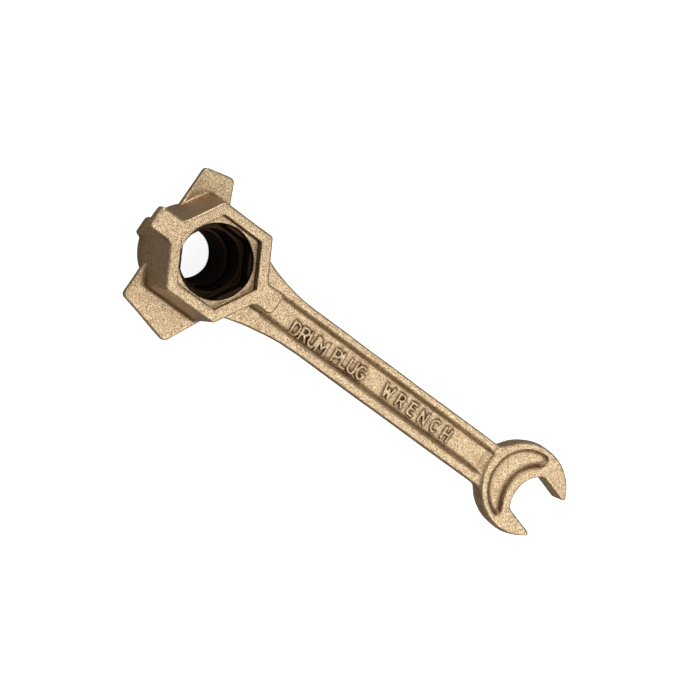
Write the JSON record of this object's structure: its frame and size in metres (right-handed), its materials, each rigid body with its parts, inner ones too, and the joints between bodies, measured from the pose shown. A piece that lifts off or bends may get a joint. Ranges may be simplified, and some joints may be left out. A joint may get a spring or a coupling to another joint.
{
  "type": "drum plug wrench",
  "caption": "One-piece cast bronze drum plug wrench with a stepped socket head, side wings and lugs, an I-section handle and an angled open-end jaw.",
  "frame": {"origin": "centre of the through bore at the lower rim of the socket head", "axes": "+Z along the socket's axis out of its hexagonal mouth, +X along the handle from the socket head to the open-end jaw, +Y towards the side with the narrow wing"},
  "size_m": [0.321, 0.1, 0.071],
  "materials": {
    "cast_bronze": "sand-cast, as-cast matt skin"
  },
  "bodies": {
    "root": {"wrench_casting": "cast_bronze"}
  },
  "joints": []
}
